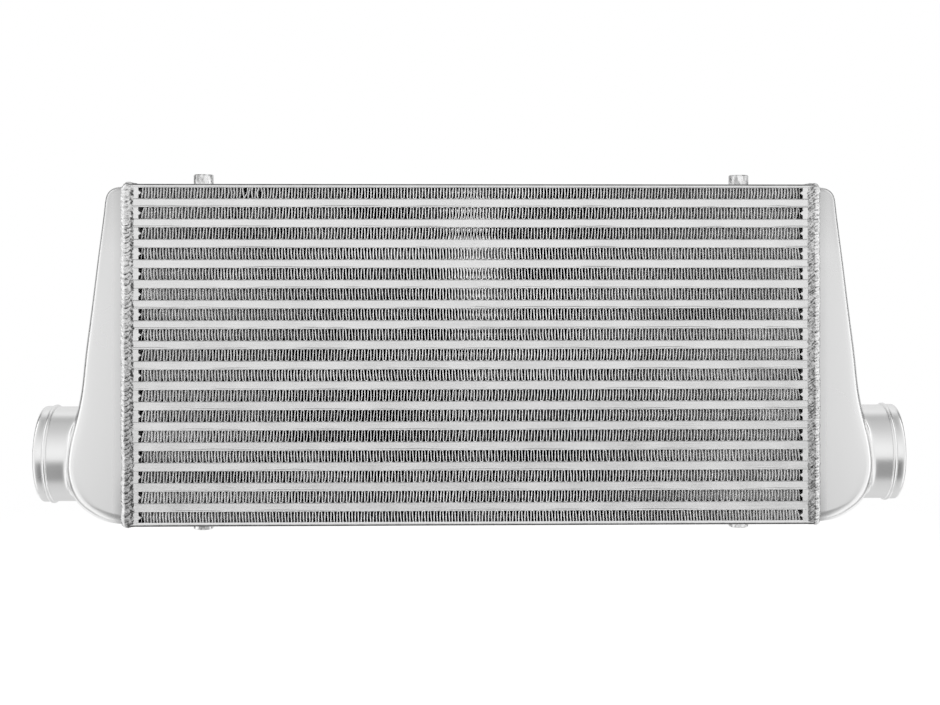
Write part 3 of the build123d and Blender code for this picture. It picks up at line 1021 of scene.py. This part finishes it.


def weld_metal(name, soot_share, foot, crown):
    """Bead with painted shade in its grooves and a pitted strip beside it, by shares across from the core's
    toe: the strip ends at the bead's foot, and its pits get painted shade. Painted shade also darkens the
    rope from its foot to its crown and along its toe on the tank, so it is bright between them, and these
    two shades deepen towards the bottom."""
    finish, place, shader = metal(name, 0.35)
    groove, share = (place.own_map().part(axis) for axis in (0, 1))
    # painted shade: the flank and toe shade grows lower down
    down = (0.5 - place.part(2) * 4).rise(0.1, 0.9)
    blotch = place.noise(330, 4)
    fine = place.noise(900, 3)
    pit = place.noise(700, 2).fall(0.32, 0.42)
    strip = (share + 0.20 * (blotch - 0.5)).fall(foot - 0.06, foot + 0.04)
    # painted shade on the rope's core-side flank, from its foot to its crown
    flank_shade = (share + 0.10 * (blotch - 0.5)).ramp([(foot - 0.04, 0.55), (foot + 0.06, 1.0),
                                                 (crown - 0.08, 1.0), (crown + 0.04, 0.0)])
    # painted shade along the rope's toe on the tank
    toe = (share + 0.10 * (fine - 0.5)).rise(0.82, 0.94)
    soot = (0.60 * blotch + 0.40 * fine).fall(0.42, 0.55)
    broken = place.noise(240, 3).ramp([(0.38, 0.35), (0.58, 1.0)])
    # painted shade in the grooves and pits, and soot on the strip
    dark = 0.80 * groove * broken + strip * (0.10 + soot_share * (0.50 * soot + 0.30 * pit))
    dark = dark + flank_shade * (0.16 + 0.28 * down) + toe * (0.12 + 0.22 * down)
    grey = (0.97 - dark - 0.22 * soot).ramp([(0.10, 0.10), (1.0, 1.0)])
    feed(shader, Base_Color=grey.mix(0.0, 1.0), Roughness=0.14 + 0.26 * strip,
         Normal=bump(fine * (0.3 + 0.7 * soot_share * strip) + 0.9 * blotch - soot_share * pit * strip,
                     0.0009))
    return finish


def weld_path():
    """Points and outward directions in Y and Z round the joint: a rectangle with rounded corners, read at
    even steps of its length."""
    half = np.array([core_front, core_top])
    spin = np.linspace(0, pi / 2, 12)
    arc = np.stack([np.cos(spin), np.sin(spin)], axis=-1)
    centre = half - WELD_CORNER
    corners = [(1, 1), (-1, 1), (-1, -1), (1, -1)]
    points = []
    for turn_number, sign in enumerate(corners):
        angle = turn_number * pi / 2
        spun = arc @ np.array([(np.cos(angle), np.sin(angle)), (-np.sin(angle), np.cos(angle))])
        points.append(centre * sign + WELD_CORNER * spun)
    loop = np.concatenate(points + [points[0][:1]])
    lengths = np.concatenate([[0.0], np.cumsum(np.linalg.norm(np.diff(loop, axis=0), axis=1))])
    at = np.arange(0, lengths[-1] - WELD_STEP / 2, WELD_STEP)
    even = np.stack([np.interp(at, lengths, loop[:, axis]) for axis in (0, 1)], axis=-1)
    along = unit(np.roll(even, -1, axis=0) - np.roll(even, 1, axis=0))
    return even, np.stack([along[:, 1], -along[:, 0]], axis=-1), at


def build_weld(name, side, seed, rope_at, rope_half, pitch, arch, slant):
    """Section from the core's toe to the tank's: a low shelf, and on the tank's side an arched rope. Along
    the seam the rope's height follows a saw tooth whose phase bends away from its crest by the arch and
    leans by the slant, so each ripple is a crescent, with its own size. Slanted strokes cross the shelf.
    The toe on the tank drops where the casting is lower than the core. The underside is hidden in the
    joint. The UV map holds the painted shade of the grooves, and the share across from the core's toe."""
    local = np.random.default_rng(seed)
    even, outward, at = weld_path()
    count = len(at)
    across = np.linspace(-1, 1, WELD_ACROSS)
    on_rope = np.clip(1 - ((across - rope_at) / rope_half) ** 2, 0, 1)
    shelf = WELD_SHELF * np.clip(1 - np.abs(across) ** 6, 0, 1)
    from_crest = (across - rope_at) / rope_half

    def wander(length, size):
        window = np.ones(length) / np.sqrt(length)
        return size * np.convolve(local.normal(0, 1, count), window, "same")[:, None]

    def teeth(phase, names=997):
        """Share of the way through each ripple, and each ripple's own random size."""
        return phase % 1.0, local.uniform(0.25, 1.6, names)[np.floor(phase).astype(int) % names]

    drift = wander(23, 0.20) + wander(90, 0.30)
    tooth, own = teeth((at / pitch)[:, None] + arch * from_crest ** 2 + slant * from_crest + drift)
    stroke, stroke_own = teeth((at / STROKE_PITCH)[:, None] + 1.6 * across + wander(15, 0.22))
    scallop = np.sqrt(np.clip(1 - tooth ** 2, 0, 1)) - 0.78
    bare = 1 - on_rope ** 0.5
    height = np.maximum(shelf, WELD_CREST * on_rope ** 0.5) + RIPPLE_DEPTH * scallop * own * on_rope ** 0.5
    height = height + STROKE_DEPTH * (np.abs(2 * stroke - 1) - 0.5) * stroke_own * bare
    rough = local.normal(0, WELD_ROUGH, (count, WELD_ACROSS)) * (1 - 0.7 * on_rope)
    height = height + rough + wander(9, 0.00008)
    tank_side = np.clip(across, 0, 1)
    drop = np.where(outward[:, 1] > 0.5, TOP_DROP, FOOT_DROP) * np.abs(outward[:, 1])
    height = height - drop[:, None] * tank_side ** 2 - 0.0003 * (np.abs(across) > 0.99)
    toe_step = (wander(5, 0.00024) * (across < 0) + wander(5, 0.00012) * (across > 0)) * across ** 2
    x = joint_x + across * WELD_HALF + toe_step + wander(60, 0.00020)
    root_x = joint_x + np.array([0.8, 0.0, -0.8]) * WELD_HALF + np.zeros((count, 1))
    xs = np.concatenate([x, root_x], axis=1)
    heights = np.concatenate([height, np.full((count, 3), -WELD_ROOT)], axis=1)
    heights[:, -3:] -= drop[:, None]
    points = np.zeros((*xs.shape, 3))
    points[..., 0] = side * xs
    points[..., 1:] = even[:, None] + outward[:, None] * heights[..., None]
    piece = new_mesh(name, points.reshape(-1, 3), grid_faces(*xs.shape, wrap=True, ring=True))
    share = np.concatenate([across, [0.5, 0.0, -0.5]]) / 2 + 0.5
    # painted shade in the ripples' grooves and the shelf's slanted strokes
    groove = np.clip(1.2 - np.abs(tooth - GROOVE_PLACE) * 5, 0, 1) * np.clip(own, 0, 1.2) * (on_rope > 0)
    groove = groove * np.clip(1.0 - 0.6 * from_crest, 0.3, 1.0)
    groove = groove * np.clip(0.3 + np.abs(across - CLEAN_CREST) * 3, 0, 1)
    cut = np.clip(1 - np.abs(2 * stroke - 1) * 2, 0, 1) * np.clip(stroke_own - 0.5, 0, 0.8)
    groove = np.concatenate([groove + cut * bare, np.zeros((count, 3))], axis=1)
    mark_points(piece, "across", np.stack([groove, share + 0 * groove], axis=-1).reshape(-1, 2))
    clean(piece, 60)
    return piece


WELDS = [  # node, soot, crown, side, seed, the rope's middle and half, its ripples' pitch, arch and slant
    ("left_tank_weld", 0.9, 0.70, -1, 21, 0.14, 0.72, 0.0043, 0.70, -0.18),
    ("right_tank_weld", 0.3, 0.62, 1, 22, 0.50, 0.42, 0.0031, 0.45, 0.45),
]
for weld_name, soot_share, crown, *weld_form in WELDS:
    weld = build_weld(f"{weld_name}_bead", *weld_form)
    rope_at, rope_half = weld_form[2:4]
    foot = (1 + rope_at - rope_half) / 2
    weld.data.materials.append(weld_metal(f"{weld_name}_metal", soot_share, foot, crown))
    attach(weld, "root")
    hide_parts(weld_name)


# Mounting bosses
# Four threaded bosses, turned from aluminium bar, take the screws of the brackets. They are welded upright
# to the side plates, two above and two below.
BOSS_RADIUS = 0.009
BOSS_CHAMFER = 0.0008
THREAD_PITCH = 0.00125
THREAD_CREST = 0.0034
THREAD_ROOT = 0.0040
DRILL_DEPTH = 0.0095
BOSS_TURNS = 96

boss_finish, boss_place, boss_shader = metal("turned_boss", 0.14)
boss_marks = boss_place.noise(1, 2, stretch=(40, 40, 3000))
# painted reflection: strong random dark and bright streaks along the axis stand in for the room's
# reflections in the turned metal
boss_patch = boss_place.noise(230, 3, stretch=(1, 1, 0.4)).rise(0.40, 0.56)
feed(boss_shader, Base_Color=boss_patch.mix(0.46, 0.88), Roughness=0.10 + 0.12 * boss_marks,
     Normal=bump(0.3 * boss_marks + 0.7 * boss_patch, 0.0005))


def boss_profile(height):
    """Radius and height: up the side, over the chamfer, across the face and down the zigzag of thread
    ridges to the drilled bottom. The axis closes both ends."""
    ridges = np.arange(0.0008, DRILL_DEPTH - THREAD_PITCH, THREAD_PITCH / 2)
    thread = [(THREAD_ROOT if n % 2 else THREAD_CREST, height - depth) for n, depth in enumerate(ridges)]
    return np.array([(0.0, 0.0), (BOSS_RADIUS * 0.98, 0.0), (BOSS_RADIUS, 0.0002),
                     (BOSS_RADIUS, height * 0.4), (BOSS_RADIUS, height - BOSS_CHAMFER - 0.0001),
                     (BOSS_RADIUS - 0.0001, height - BOSS_CHAMFER),
                     (BOSS_RADIUS - BOSS_CHAMFER, height - 0.0001),
                     (BOSS_RADIUS - BOSS_CHAMFER - 0.0002, height), (THREAD_ROOT + 0.0004, height)]
                    + thread + [(THREAD_CREST, height - DRILL_DEPTH), (0.0, height - DRILL_DEPTH)])


def build_bosses(name):
    """The profile turned about each boss's axis; the two bosses of a side are one piece."""
    low, high = (np.array(corner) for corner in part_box(name))
    up = 1.0 if high[2] > 0 else -1.0
    base = min(abs(low[2]), abs(high[2]))
    profile = boss_profile(high[2] - low[2])
    spin = np.linspace(0, 2 * pi, BOSS_TURNS, endpoint=False)
    points = []
    for centre in (low[0] + BOSS_RADIUS, high[0] - BOSS_RADIUS):
        ring = np.stack([centre + np.outer(profile[:, 0], np.cos(spin)),
                         np.outer(profile[:, 0], np.sin(spin)),
                         up * (base + profile[:, 1:]) + 0 * spin], axis=-1)
        points.append(ring.reshape(-1, 3))
    size = len(points[0])
    faces = [grid_faces(len(profile), BOSS_TURNS, wrap=True, first=n * size) for n in range(2)]
    piece = new_mesh(f"{name}_turned", np.concatenate(points), np.concatenate(faces))
    clean(piece, 28)
    return piece


for boss_name in ("top_mount_bosses", "bottom_mount_bosses"):
    bosses = build_bosses(boss_name)
    bosses.data.materials.append(boss_finish)
    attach(bosses, "root")
    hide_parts(boss_name)
